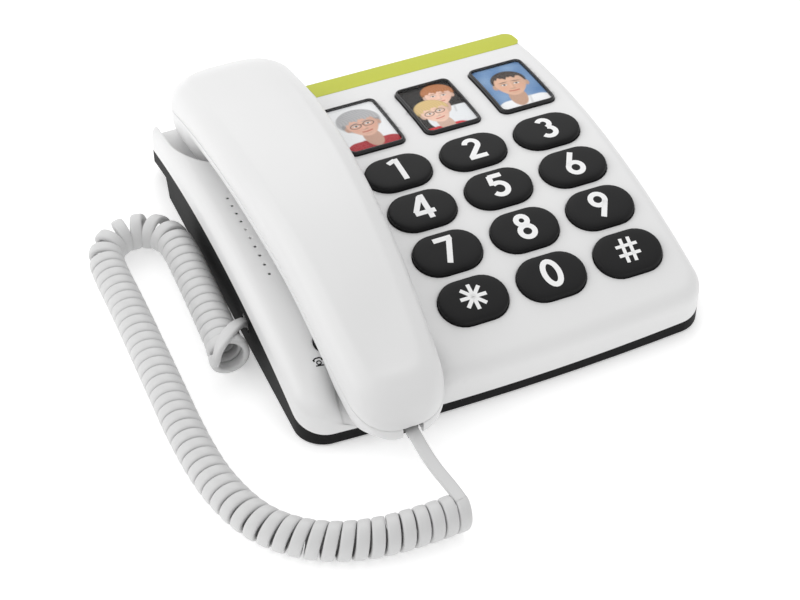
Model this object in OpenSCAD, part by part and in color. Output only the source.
// Corded desk telephone with big keys, three picture keys and a handset on the left.
// Millimetres. X to the right, Y to the back, Z up. The feet stand on Z = 0.

/* [Base] */
// Width of the base
body_w = 184; // [180:1:190]
// Y of the front edge, at its middle
body_front = -96; // [-98:1:-94]
// Y of the back edge
body_back = 101; // [99:1:102]
// How far the front edge bows forward
front_bow = 3.5; // [2:0.5:5]
// Radius of the front corners in plan
corner_r = 13; // [9:1:16]
// Radius of the back corners in plan
back_corner_r = 6; // [4:1:8]
// Radius of the arched top
top_r = 352; // [345:1:360]
// Height of the crest of the arched top
top_crest = 35.8; // [35.4:0.1:36.4]
// Radius of the arched seam between the two shells
seam_r = 355; // [350:1:360]
// Height of the crest of the seam
seam_crest = 23.2; // [22.8:0.1:23.6]
// Wall thickness of the shells
wall = 2.4; // [2:0.1:2.6]
// Rounding of the side edges
side_round = 6; // [4:0.5:8]
// Rounding of the front edge
front_round = 8; // [6:0.5:9]

/* [Digit keys] */
// Distance between key columns
key_pitch_x = 36; // [34:0.5:37]
// Distance between key rows
key_pitch_y = 25.9; // [25:0.1:27]
// X of the left key column
key_x = -6; // [-7:0.5:-5]
// Y of the back key row
key_y = 11.5; // [10:0.5:12]
// Width of a key
key_w = 30.4; // [27:0.2:31]
// Depth of a key
key_d = 20.8; // [18:0.2:21]
// How far a key stands proud of the top
key_proud = 2.8; // [1.5:0.1:3]

/* [Picture keys] */
// Distance between the picture keys
photo_pitch = 37.1; // [36:0.1:38]
// X of the left picture key
photo_x = -6.8; // [-8:0.1:-6]
// Y of the picture keys
photo_y = 50.6; // [49:0.2:52]
// Width of a picture key
photo_w = 27; // [25:0.5:28]
// Depth of a picture key
photo_d = 39.5; // [37:0.5:41]
// How far a picture key stands proud of the top
photo_proud = 2.4; // [2:0.1:3]

/* [Handset] */
// X of the middle of the handset
handset_x = -53.7; // [-54.5:0.1:-53]
// Half of the handset's length
handset_half = 113.7; // [112:0.1:115]
// Half of the width at the ear end
ear_half_w = 28.9; // [27:0.1:30]
// How gently the handset arches: length squared over rise
handset_arch = 500; // [490:5:520]
// Height of the crest of that seam
handset_crest = 50.1; // [49.8:0.1:51]
// Height of the upper shell over the seam
crown = 13.5; // [12:0.5:15]
// Depth of the lower shell under the seam along the grip
grip_depth = 9; // [8:0.5:9]

/* [Cord] */
// Outer diameter of the curly cord
coil_d = 16; // [14:0.5:16.4]
// Thickness of the cord
cord_t = 3.4; // [3:0.1:4]

/* [Hidden] */

fine = 720;
half_w = body_w / 2;
top_y = 8.8;
seam_y = 14.5;
bow_r = (half_w * half_w + front_bow * front_bow) / (2 * front_bow);
corner_sag = pow(half_w - corner_r, 2) / (2 * bow_r);
gap = 0.3;
floor_z = 1;
rim_h = 6.5;
foot_back_low = 74.8;
foot_back_high = 78.3;
flange_t = 1.2;
flange_out = 1.6;
stem_r = 3.5;
stem_bottom = 15.2;
photo_r = 3.5;
bezel = 1.4;
ear_well_y = 81;
ear_well_r = 34;
ear_well_z = 18;
ear_well_right = -23.2;
mouth_well_y = -91;
mouth_well_r = 22.5;
mouth_well_depth = 7;
pod_gap = 0.6;
button_at = [-70.8, -64];
button_r = 5;
hook_y = 64;
hook_r = 3.8;
strip_left = -15;
strip_right = 90;
strip_front = 85.5;
strip_back = 99.5;
dot_x = -79.4;
dot_pitch = 5.6;
dot_back = 26.8;
screw_at = [[-84, 38], [84, -75], [84, 25.5], [-84, -75]];
screw_boss_z = 6;
screw_r = 1.5;
board_z = 5.2;
board_t = 1.6;
pad_board_z = 10;
jack_y = -25.3;
jack_z = 12.55;
plug_w = 7.66;
plug_h = 6.2;
line_jack_x = 45;
line_jack_z = 17.3;
speaker_at = [-72, 0];
handset_wall = 2.2;
handset_front_z = 16.2;
rings = 40;
sides = 16;
pod_r = 31;

// Height of an arch of radius r and crest c at a given y
function arch(r, y0, crest, y) = crest - r + sqrt(r * r - pow(y - y0, 2));
function top_at(y) = arch(top_r, top_y, top_crest, y);
function seam_at(y) = arch(seam_r, seam_y, seam_crest, y);
function ease(a, b, v) = let (t = min(max((v - a) / (b - a), 0), 1)) t * t * (3 - 2 * t);
function column_x(c) = key_x + c * key_pitch_x;
function row_y(r) = key_y - r * key_pitch_y;
function photo_at(n) = photo_x + (n - 1) * photo_pitch;

// ---- Shared shapes

module barrel(r, y0, crest, len = 400) {
  translate([0, y0, crest - r]) rotate([0, 90, 0]) cylinder(r = r, h = len, center = true, $fn = fine);
}

module top_barrel(lift = 0) { barrel(top_r + lift, top_y, top_crest + lift); }

module seam_barrel(lift = 0) { barrel(seam_r + lift, seam_y, seam_crest + lift); }

module round_rect(w, d, r) {
  square([w, d - 2 * r], center = true);
  square([w - 2 * r, d], center = true);
  for (x = [-1, 1], y = [-1, 1]) translate([x * (w / 2 - r), y * (d / 2 - r)]) circle(r = r, $fn = 48);
}

module stadium(w, d) {
  square([w - d, d], center = true);
  for (x = [-1, 1]) translate([x * (w - d) / 2, 0]) circle(d = d, $fn = 96);
}

// Plan outline of the base, moved inwards by in
module plan(in = 0) {
  r = corner_r - in;
  rb = max(back_corner_r - in, 1);
  hw = half_w - in;
  front = body_front + in;
  back = body_back - in;
  y_c = front + corner_sag + r;
  intersection() {
    union() {
      translate([-hw, y_c]) square([2 * hw, back - rb - y_c]);
      translate([-hw + r, front]) square([2 * (hw - r), y_c - front]);
      translate([-hw + rb, back - rb]) square([2 * (hw - rb), rb]);
      for (s = [-1, 1]) {
        translate([s * (hw - r), y_c]) circle(r = r, $fn = 96);
        translate([s * (hw - rb), back - rb]) circle(r = rb, $fn = 48);
      }
    }
    translate([0, front + bow_r]) circle(r = bow_r, $fn = 2 * fine);
  }
}

// Arched top with rounded side edges, as a ring about the arch's own axis
module round_barrel(in) {
  r = top_r - in;
  hw = half_w - in;
  f = max(side_round - in, 1);
  translate([0, top_y, top_crest - top_r]) rotate([0, 90, 0]) rotate_extrude($fn = fine) {
    translate([r - 60, -hw]) square([60 - f, 2 * hw]);
    translate([r - 60, f - hw]) square([60, 2 * (hw - f)]);
    for (s = [-1, 1]) translate([r - f, s * (hw - f)]) circle(r = f, $fn = 48);
  }
}

// Side profile with a rounded front edge, right across the base
module round_front(in) {
  f = max(front_round - in, 0.6);
  edge = body_front + in;
  c = edge + f;
  z = top_crest - top_r + sqrt(pow(top_r - in - f, 2) - pow(c - top_y, 2));
  tangent = top_y + (c - top_y) * (top_r - in) / (top_r - in - f);
  rotate([90, 0, 90]) linear_extrude(300, center = true) {
    translate([tangent, 0]) square([150 - tangent, 60]);
    translate([c, z]) circle(r = f, $fn = 64);
    translate([edge, 0]) square([tangent - edge + 1, z]);
  }
}

// Everything under the top, moved inwards by in
module body_block(in = 0) {
  intersection() {
    linear_extrude(50) plan(in);
    round_barrel(in);
    round_front(in);
  }
}

module ear_well(grow = 0) {
  intersection() {
    translate([handset_x - 0.3, ear_well_y, ear_well_z - grow]) hull() {
      cylinder(r = ear_well_r + grow, h = 50, $fn = 180);
      translate([0, 60, 0]) cylinder(r = ear_well_r + grow, h = 50, $fn = 180);
    }
    translate([-half_w - 50, 0, 0]) cube([ear_well_right + half_w + 50 + grow, 200, 100]);
  }
}

// What the cavity leaves solid: the ear well's wall and the fin on its left
module ear_well_wall() {
  ear_well(wall);
  translate([-half_w - 50, ear_well_y - 16, 0]) cube([handset_x - ear_well_r / 2 + half_w + 50, 60, 60]);
}

module mouth_well(grow = 0) {
  difference() {
    linear_extrude(60) {
      translate([handset_x - 0.7, mouth_well_y]) circle(r = mouth_well_r + grow, $fn = 120);
      translate([handset_x - 0.7 - mouth_well_r - grow, body_front - 20])
        square([2 * (mouth_well_r + grow), mouth_well_y - body_front + 20]);
    }
    top_barrel(-mouth_well_depth - grow);
  }
}

module slab_under_roof(y_high, t) { translate([0, 0, min(top_at(y_high), top_at(-y_high)) - wall - t]) children(); }

// A push key: its cap goes through the roof, its flange stays under it and its stem reaches the board
module push_key(x, y, proud, depth, flange_w, flange_d, round = true) {
  flange_top = min(top_at(y - depth / 2 - flange_out), top_at(y + depth / 2 + flange_out)) - wall - 0.2;
  intersection() {
    translate([x, y, flange_top - flange_t]) linear_extrude(40) children();
    top_barrel(proud);
  }
  translate([x, y, flange_top - flange_t]) linear_extrude(flange_t)
    if (round) stadium(flange_w, flange_d); else round_rect(flange_w, flange_d, photo_r + flange_out);
  translate([x, y, stem_bottom]) cylinder(r = stem_r, h = flange_top - stem_bottom, $fn = 48);
}

module digit_key(c, r) {
  color([0.13, 0.13, 0.14])
    push_key(column_x(c), row_y(r), key_proud, key_d, key_w + 2 * flange_out, key_d + 2 * flange_out)
      stadium(key_w, key_d);
}

// ---- Base shells

module base_housing() {
  color([0.93, 0.93, 0.92]) difference() {
    union() {
      difference() {
        body_block(0);
        difference() {
          body_block(wall);
          ear_well_wall();
          mouth_well(wall);
        }
      }
      intersection() {
        body_block(1);
        union() {
          for (p = screw_at) translate([p[0], p[1], screw_boss_z]) cylinder(r = 3.5, h = 60, $fn = 48);
          translate([speaker_at[0], speaker_at[1], 29]) difference() {
            cylinder(r = 15.5, h = 20, $fn = 96);
            translate([0, 0, -1]) cylinder(r = 13, h = 22, $fn = 96);
          }
        }
      }
    }
    difference() {
      seam_barrel();
      for (p = screw_at) translate([p[0], p[1], screw_boss_z]) cylinder(r = 3.5, h = 60, $fn = 48);
    }
    ear_well();
    mouth_well();
    key_holes();
    strip_block(0);
    for (p = screw_at) translate([p[0], p[1], 0]) cylinder(r = 1.3, h = 18, $fn = 32);
    translate([handset_x, hook_y, 5]) cylinder(r = hook_r + gap, h = 20, $fn = 48);
    for (i = [4, 5]) translate([dot_x, dot_back - i * dot_pitch, 20]) cylinder(r = 0.8, h = 30, $fn = 24);
    line_opening(10.2, 7.4, 12);
  }
}

module key_holes() {
  for (c = [0:2], r = [0:3]) translate([column_x(c), row_y(r), 10])
    linear_extrude(60) stadium(key_w + 2 * gap, key_d + 2 * gap);
  for (n = [1:3]) translate([photo_at(n), photo_y, 10])
    linear_extrude(60) round_rect(photo_w + 2 * gap, photo_d + 2 * gap, photo_r + gap);
  translate([button_at[0], button_at[1], 10]) cylinder(r = button_r + gap, h = 60, $fn = 64);
}

// The strip's own space: a plan shape between two arches
module strip_block(lift) {
  depth = strip_back - strip_front;
  difference() {
    intersection() {
      linear_extrude(60) {
        translate([strip_left, strip_front]) square([strip_right - strip_left - depth / 4, depth]);
        translate([strip_right - depth / 2, (strip_front + strip_back) / 2]) round_rect(depth, depth, depth / 3);
      }
      if (lift > 0) top_barrel(lift);
    }
    top_barrel(-1);
  }
}

module lime_strip() { color([0.76, 0.82, 0.22]) strip_block(0.15); }

module line_opening(w, h, depth) {
  translate([line_jack_x - w / 2, body_back - depth, line_jack_z - h / 2]) cube([w, depth + 2, h]);
}

// Lower profile: flat floor, upright back of the foot and a raised rim behind it
module lower_profile(t) {
  rotate([90, 0, 90]) linear_extrude(300, center = true) {
    difference() {
      translate([-150, floor_z + t]) square([150 + foot_back_high - t, 60]);
      polygon([[foot_back_low - t, -1], [foot_back_high - t, seam_at(foot_back_high) - rim_h + t],
        [foot_back_high + 20, seam_at(foot_back_high) - rim_h + t], [foot_back_high + 20, -1]]);
    }
    difference() {
      translate([foot_back_low - 2 * t, 0]) square([80, 60]);
      translate([seam_y, seam_crest - seam_r]) circle(r = seam_r - rim_h + t, $fn = fine);
    }
  }
}

module tray_block(in) {
  intersection() {
    linear_extrude(50) plan(in);
    lower_profile(in);
  }
}

module base_bottom() {
  color([0.09, 0.09, 0.1]) difference() {
    union() {
      difference() {
        intersection() { tray_block(0); seam_barrel(); }
        tray_block(wall - 0.2);
      }
      for (p = screw_at) translate([p[0], p[1], floor_z]) cylinder(r = 4.5, h = screw_boss_z - floor_z, $fn = 48);
      for (x = [-18, 74], y = [-70, 66]) translate([x, y, floor_z]) cylinder(r = 3, h = pad_board_z - floor_z, $fn = 32);
      for (p = board_posts) translate([p[0], p[1], floor_z]) cylinder(r = 3, h = board_z - floor_z, $fn = 32);
    }
    for (p = screw_at) translate([p[0], p[1], 0]) {
      cylinder(r = screw_r + 0.3, h = 30, $fn = 32);
      cylinder(r = 3.2, h = 3.6, $fn = 48);
    }
    translate([-half_w - 1, jack_y - 5, jack_z - 4.5]) cube([wall + 1, 10, 9]);
  }
}

board_posts = [[-80, -50], [-32, -50], [-80, 20], [-32, 68]];

module rubber_feet() {
  color([0.2, 0.2, 0.2]) for (p = [[-76, 62], [76, 62], [-70, -80], [70, -80]])
    translate([p[0], p[1], 0]) {
      cylinder(r = 5.5, h = floor_z, $fn = 64);
    }
}

module base_screws() {
  color([0.6, 0.6, 0.62]) for (p = screw_at) translate([p[0], p[1], 0]) difference() {
    union() {
      translate([0, 0, 1.8]) cylinder(r = 2.9, h = 1.8, $fn = 48);
      translate([0, 0, 1.8]) cylinder(r = screw_r, h = 14, $fn = 32);
    }
    for (a = [0, 90]) translate([0, 0, 1.8]) rotate([0, 0, a]) cube([3.4, 0.8, 1.6], center = true);
  }
}

// ---- Electronics

module main_board() {
  color([0.1, 0.35, 0.18]) translate([-87, -69, board_z]) difference() {
    cube([61, 142, board_t]);
    translate([3, 107, -1]) cylinder(r = 5, h = 4, $fn = 32);
  }
  color([0.08, 0.08, 0.08]) {
    translate([-60, -10, board_z + board_t]) cube([12, 12, 2]);
    translate([-48, 20, board_z + board_t]) cube([8, 14, 2]);
    for (y = [-44, -36]) translate([-60, y, board_z + board_t]) cylinder(r = 2.5, h = 6, $fn = 32);
  }
}

module keypad_board() {
  color([0.1, 0.35, 0.18]) translate([-23, -73, pad_board_z]) cube([102, 146, board_t]);
}

module keypad_membrane() {
  base = pad_board_z + board_t;
  color([0.75, 0.75, 0.76]) {
    translate([-22, -72, base]) cube([100, 144, 1]);
    for (c = [0:2], r = [0:3]) translate([column_x(c), row_y(r), base + 1]) cylinder(r = 4.5, h = 1, $fn = 48);
    for (n = [1:3]) translate([photo_at(n), photo_y, base + 1]) cylinder(r = 4.5, h = 1, $fn = 48);
  }
}

module ringer_speaker() {
  color([0.35, 0.36, 0.38]) translate([speaker_at[0], speaker_at[1], 23]) {
    cylinder(r = 7, h = 4, $fn = 64);
    translate([0, 0, 4]) cylinder(r = 14, h = 2, $fn = 96);
  }
}

// A modular socket: a block with a slot along its own +X
module socket(block_x, block_y, block_z, slot_y, slot_z, slot_x) {
  difference() {
    translate([0, -block_y / 2, -block_z / 2]) cube([block_x, block_y, block_z]);
    translate([-1, -slot_y / 2, -slot_z / 2]) cube([slot_x + 1, slot_y, slot_z]);
  }
}

module cord_jack() {
  color([0.2, 0.2, 0.21]) translate([-half_w + wall - 0.2, jack_y, jack_z]) difference() {
    union() {
      socket(15, 12.4, 11.5, 8, 6.7, 12);
      translate([-wall + 0.2, 0, 0]) socket(wall, 10, 9, 8, 6.7, 12);
    }
    translate([-3, -4, -3.35]) cube([8, 8, 6.7]);
  }
}

module line_jack() {
  color([0.2, 0.2, 0.21]) translate([line_jack_x, body_back, line_jack_z]) rotate([0, 0, -90])
    union() {
      translate([wall, 0, 0]) socket(12, 13, 8.6, 9.8, 6.8, 10);
      difference() {
        translate([0.2, -5.1, -3.7]) cube([wall - 0.2, 10.2, 7.4]);
        translate([-1, -4.9, -3.4]) cube([5, 9.8, 6.8]);
      }
    }
}

// ---- Picture keys

module photo_frame(n) {
  color([0.25, 0.25, 0.26]) difference() {
    push_key(photo_at(n), photo_y, photo_proud - 0.4, photo_d, photo_w, photo_d + 2 * flange_out, false)
      round_rect(photo_w, photo_d, photo_r);
    photo_window(n, 0.2, 10);
  }
}

// Space inside the bezel between two heights over the arched top
module photo_window(n, low, high) {
  difference() {
    intersection() {
      translate([photo_at(n), photo_y, 15]) linear_extrude(40)
        round_rect(photo_w - 2 * bezel, photo_d - 2 * bezel, photo_r - bezel);
      top_barrel(high);
    }
    top_barrel(low);
  }
}

module photo_card(n) { color([0.75, 0.8, 0.88]) photo_window(n, 0.2, 0.6); }

module photo_cover(n) { color([0.9, 0.95, 1, 0.4]) photo_window(n, 0.6, photo_proud); }

module round_button() {
  color([0.12, 0.12, 0.13]) {
    roof = min(top_at(button_at[1] - 6.5), top_at(button_at[1] + 6.5)) - wall - 0.2;
    intersection() {
      translate([button_at[0], button_at[1], roof - 1]) cylinder(r = button_r, h = 20, $fn = 96);
      top_barrel(0.6);
    }
    translate([button_at[0], button_at[1], roof - 1]) cylinder(r = 6.5, h = 1, $fn = 96);
    translate([button_at[0], button_at[1], 10]) cylinder(r = 2, h = roof - 10, $fn = 48);
  }
}

// ---- Hook switch

module hook_plunger() {
  color([0.9, 0.9, 0.89]) translate([handset_x, hook_y, 0]) {
    translate([0, 0, 10.4]) cylinder(r = hook_r, h = ear_well_z + 0.5 - 10.4, $fn = 64);
    translate([0, 0, 10.4]) cylinder(r = 6, h = 1.2, $fn = 64);
  }
}

// Route of a wire spring with closed ends
function spring_path(r, z0, z1, turns) = [for (i = [0:turns * 14])
  [r * cos(360 * i / 14), r * sin(360 * i / 14), z0 + (z1 - z0) * i / (turns * 14)]];

module hook_spring() {
  color([0.7, 0.7, 0.72]) translate([handset_x, hook_y, 0])
    sweep(spring_path(4.6, board_z + board_t + 0.45, 9.95, 2.5), 0.4, 8);
}

module hook_switch() {
  color([0.15, 0.15, 0.16]) translate([handset_x + 8, hook_y - 5, board_z + board_t]) cube([6, 10, 5]);
}

// ---- Handset

function hs_seam(y) = handset_crest - pow(y - 9.8, 2) / handset_arch;
function blunt(a, n) = pow(1 - pow(min(max(a, 0), 1), n), 1 / n);
function hs_shift(y) = handset_x - 1.1 * ease(30, 90, -y);
function hs_half(y, t) = (ear_half_w - t - 2.35e-4 * pow(103.7 - y, 2) + 1.1 * ease(30, 90, -y))
  * blunt((y - (handset_half - 27)) / (27 - t), 2.3) * blunt((-handset_half + 20 - y) / (20 - t), 2.7);
function hs_crown(y, t) = (crown + 1.5 * ease(40, 100, y) - t)
  * blunt((y - (handset_half - 24)) / (24 - t), 2.2) * blunt((-handset_half + 14 - y) / (14 - t), 2.2);
function hs_depth(x, y, t) = let (
    ear = hs_seam(y) - ear_well_z - pod_gap,
    pod = y > ear_well_y ? 1 : ease(pod_r, pod_r - 4.5, norm([x, y - ear_well_y]) + t),
    d = grip_depth + (ear - grip_depth) * pod + 5 * ease(-74, -88, y))
  (d - t - 7 * ease(-99, -111, y)) * blunt((y - (handset_half - 9)) / (9 - t), 3)
  * blunt((-handset_half + 3 - y) / 3.01, 3);

// One half section of the handset at ring i, t inside the outer skin; up is 1 for the upper shell
function hs_ring(i, t, up) = let (
    y = -(handset_half - t) * 0.9997 * cos(180 * i / rings),
    ex = up > 0 ? 2 / 3.2 : 2 / 4,
    ez = up > 0 ? 2 / 2.6 : 2 / 4)
  [for (j = [0:sides]) let (
      c = cos(180 * j / sides),
      s = sin(180 * j / sides),
      x = hs_half(y, t) * sign(c) * pow(abs(c), ex),
      h = up > 0 ? hs_crown(y, t) : hs_depth(x, y, t))
    [hs_shift(y) + x, y, hs_seam(y) + up * h * (s < 1e-9 ? 0 : pow(s, ez))]];

// A thin shell of the handset: outer skin, inner skin and the flat rim between them
module hs_shell(up) {
  n = rings + 1;
  m = sides + 1;
  points = concat([for (i = [0:rings]) each hs_ring(i, 0, up)], [for (i = [0:rings]) each hs_ring(i, handset_wall, up)]);
  inner = n * m;
  skin = [for (i = [0:rings - 1], j = [0:sides - 1]) each [
    [i * m + j, (i + 1) * m + j, (i + 1) * m + j + 1], [i * m + j, (i + 1) * m + j + 1, i * m + j + 1]]];
  lining = [for (f = skin) [inner + f[0], inner + f[2], inner + f[1]]];
  rim = [for (i = [0:rings - 1]) each [
    [i * m, inner + i * m, inner + (i + 1) * m], [i * m, inner + (i + 1) * m, (i + 1) * m],
    [i * m + sides, (i + 1) * m + sides, inner + (i + 1) * m + sides],
    [i * m + sides, inner + (i + 1) * m + sides, inner + i * m + sides]]];
  front = [for (j = [1:sides - 1]) [0, j, j + 1]];
  rear = [for (j = [1:sides - 1]) [rings * m, rings * m + j + 1, rings * m + j]];
  caps = concat(front, [for (f = front) [inner, inner + f[2], inner + f[1]]],
    rear, [for (f = rear) [f[0] + inner, f[2] + inner, f[1] + inner]]);
  tips = [[0, sides, inner + sides], [0, inner + sides, inner],
    [rings * m, inner + rings * m + sides, rings * m + sides], [rings * m, inner + rings * m, inner + rings * m + sides]];
  all = concat(skin, lining, rim, caps, tips);
  polyhedron(points, up < 0 ? all : [for (f = all) [f[0], f[2], f[1]]], convexity = 6);
}

module handset_top_shell() {
  color([0.93, 0.93, 0.92]) difference() {
    union() {
      hs_shell(1);
      translate([handset_x, -48, hs_seam(-48) + 0.2]) cylinder(r = 3.2, h = crown - 1.2, $fn = 32);
    }
    translate([handset_x, -48, hs_seam(-48) - 1]) cylinder(r = 1.2, h = 8, $fn = 24);
  }
}

// The lower shell with its openings; it is made as three sections that meet face to face
module lower_shell() {
  difference() {
    hs_shell(-1);
    translate([handset_x - 4.2, -handset_half - 1, 0]) cube([8.4, 8, 40]);
    translate([handset_x - 5.8, -108, 0]) cube([11.6, 13.2, 40]);
    translate([handset_x, -48, 20]) cylinder(r = screw_r + 0.2, h = 30, $fn = 32);
    translate([handset_x, -48, 20]) cylinder(r = 3, h = hs_seam(-48) - grip_depth - 20 + 1.2, $fn = 48);
    for (a = [0:60:300]) translate([handset_x + 7 * cos(a), 84 + 7 * sin(a), 10]) cylinder(r = 1, h = 12, $fn = 24);
    translate([handset_x, 84, 10]) cylinder(r = 1, h = 12, $fn = 24);
    for (x = [-4, 0, 4]) translate([handset_x + x, -86, 10]) cylinder(r = 0.9, h = 14, $fn = 24);
  }
}

module lower_section(y0, y1) {
  color([0.93, 0.93, 0.92]) intersection() {
    lower_shell();
    translate([handset_x - 60, y0, 0]) cube([120, y1 - y0, 80]);
  }
}

module handset_mouth_shell() { lower_section(-120, -74); }

module handset_bottom_shell() { lower_section(-74, 44); }

module handset_ear_shell() { lower_section(44, 120); }

module earpiece_speaker() {
  color([0.3, 0.3, 0.32]) translate([handset_x, 84, 0]) {
    translate([0, 0, ear_well_z + pod_gap + 2.8]) cylinder(r = 12, h = 2, $fn = 64);
    translate([0, 0, ear_well_z + pod_gap + 4.4]) cylinder(r = 16, h = 3, $fn = 96);
    translate([0, 0, ear_well_z + pod_gap + 7.4]) cylinder(r = 8, h = 4, $fn = 64);
  }
}

module microphone() {
  color([0.5, 0.5, 0.52]) translate([handset_x, -86, hs_seam(-86) - 7.2]) cylinder(r = 4.8, h = 3, $fn = 64);
}

module handset_weight() {
  color([0.5, 0.5, 0.52]) translate([handset_x - 9, -28, 43.6]) cube([18, 66, 6]);
}

module handset_jack() {
  color([0.85, 0.85, 0.84]) translate([handset_x, -108, handset_front_z]) rotate([0, 0, 90])
    socket(12.6, 11.4, 8.8, 8, 6.6, 11.2);
}

module handset_screw() {
  z = hs_seam(-48) - grip_depth;
  color([0.6, 0.6, 0.62]) translate([handset_x, -48, z]) difference() {
    union() {
      translate([0, 0, 0.3]) cylinder(r = 2.7, h = 0.9, $fn = 48);
      translate([0, 0, 0.3]) cylinder(r = screw_r, h = grip_depth + 4.7, $fn = 32);
    }
    translate([0, 0, 0.3]) cube([3.2, 0.8, 0.9], center = true);
  }
}

// ---- Cord, its plugs and its coil

// A tube of radius r along a list of points
module sweep(path, r, n) {
  last = len(path) - 1;
  points = [for (i = [0:last]) let (
      d = path[min(i + 1, last)] - path[max(i - 1, 0)],
      t = d / norm(d),
      flat = cross(t, [0, 0, 1]),
      u = norm(flat) > 1e-6 ? flat / norm(flat) : [1, 0, 0],
      v = cross(u, t))
    for (k = [0:n - 1]) path[i] + r * cos(360 * k / n) * u + r * sin(360 * k / n) * v];
  walls = [for (i = [0:last - 1], k = [0:n - 1]) let (a = i * n + k, b = i * n + (k + 1) % n)
    each [[a, b, b + n], [a, b + n, a + n]]];
  ends = [for (k = [1:n - 2]) each [[0, k + 1, k], [last * n, last * n + k, last * n + k + 1]]];
  polyhedron(points, concat(walls, ends), convexity = 8);
}

// Middle of the coil from the handset's lead to the tail at the base's side
coil_z = coil_d / 2 + 0.3;
coil_route = [for (p = [[-50.5, -151.6], [-59.5, -152], [-68, -152], [-77, -151.6], [-86, -150.4],
  [-94, -148.4], [-102, -145.2], [-109.5, -140.8], [-116.5, -134.8], [-122.4, -127.4], [-127, -118.4],
  [-130.3, -107.8], [-132.6, -96], [-133.8, -82], [-134.2, -66], [-134, -50], [-133.8, -34],
  [-133.6, -18], [-133.4, -2], [-133.4, 14], [-133.5, 28], [-132.8, 38.5], [-129.8, 45.4],
  [-124.4, 50], [-117.4, 51.6], [-110.4, 50], [-105, 45.4], [-102, 38.5], [-101.3, 28], [-101.6, 14],
  [-102, 0], [-102.6, -15], [-103.3, -30], [-104.2, -43.2]]) [p[0], p[1], coil_z]];
lead_route = [[-53.7, -111, 16.2], [-53.7, -116, 16.2], [-53.6, -124, 15.8], [-52.8, -131, 15.6],
  [-50.6, -138, 15.6], [-47.6, -144, 15.2], [-46.4, -149, 13.6], [-46.6, -152.4, 11], [-48.4, -153.4, 8.8]];
tail_route = [[-109.6, -45.1, 8.8], [-112.2, -46.2, 11.6], [-111.4, -44.4, 16], [-107.4, -41.2, 18.6],
  [-102, -36.2, 18.8], [-98, -31.4, 17.6], [-95, -27.4, 14.6], [-92.4, -25.3, 12.7]];

module curly_coil() { color([0.86, 0.86, 0.86]) sweep(coil_route, coil_d / 2, 12); }

module cord_lead() { color([0.86, 0.86, 0.86]) sweep(lead_route, cord_t / 2, 8); }

module cord_tail() { color([0.86, 0.86, 0.86]) sweep(tail_route, cord_t / 2, 8); }

module modular_plug(length) {
  cube([length, plug_w, plug_h], center = true);
}

module plug_handset() {
  color([0.85, 0.88, 0.9]) translate([handset_x, -103.8, handset_front_z]) {
    rotate([0, 0, 90]) modular_plug(13.6);
    translate([-1.7, -6.6, -plug_h / 2 - 0.9]) cube([3.4, 2.3, 0.9]);
  }
}

module plug_base() {
  color([0.85, 0.88, 0.9]) translate([-half_w + 6.9, jack_y, jack_z]) modular_plug(13.4);
}

base_housing();
base_bottom();
lime_strip();
rubber_feet();
base_screws();
main_board();
keypad_board();
keypad_membrane();
digit_key(0, 0);  // key_1
digit_key(1, 0);  // key_2
digit_key(2, 0);  // key_3
digit_key(0, 1);  // key_4
digit_key(1, 1);  // key_5
digit_key(2, 1);  // key_6
digit_key(0, 2);  // key_7
digit_key(1, 2);  // key_8
digit_key(2, 2);  // key_9
digit_key(0, 3);  // key_star
digit_key(1, 3);  // key_0
digit_key(2, 3);  // key_hash
photo_frame(1);  // photo_frame_1
photo_frame(2);  // photo_frame_2
photo_frame(3);  // photo_frame_3
photo_card(1);  // photo_card_1
photo_card(2);  // photo_card_2
photo_card(3);  // photo_card_3
photo_cover(1);  // photo_cover_1
photo_cover(2);  // photo_cover_2
photo_cover(3);  // photo_cover_3
round_button();
hook_plunger();
hook_spring();
hook_switch();
ringer_speaker();
cord_jack();
line_jack();
handset_top_shell();
handset_bottom_shell();
handset_mouth_shell();
handset_ear_shell();
earpiece_speaker();
microphone();
handset_weight();
handset_jack();
handset_screw();
plug_handset();
cord_lead();
curly_coil();
cord_tail();
plug_base();
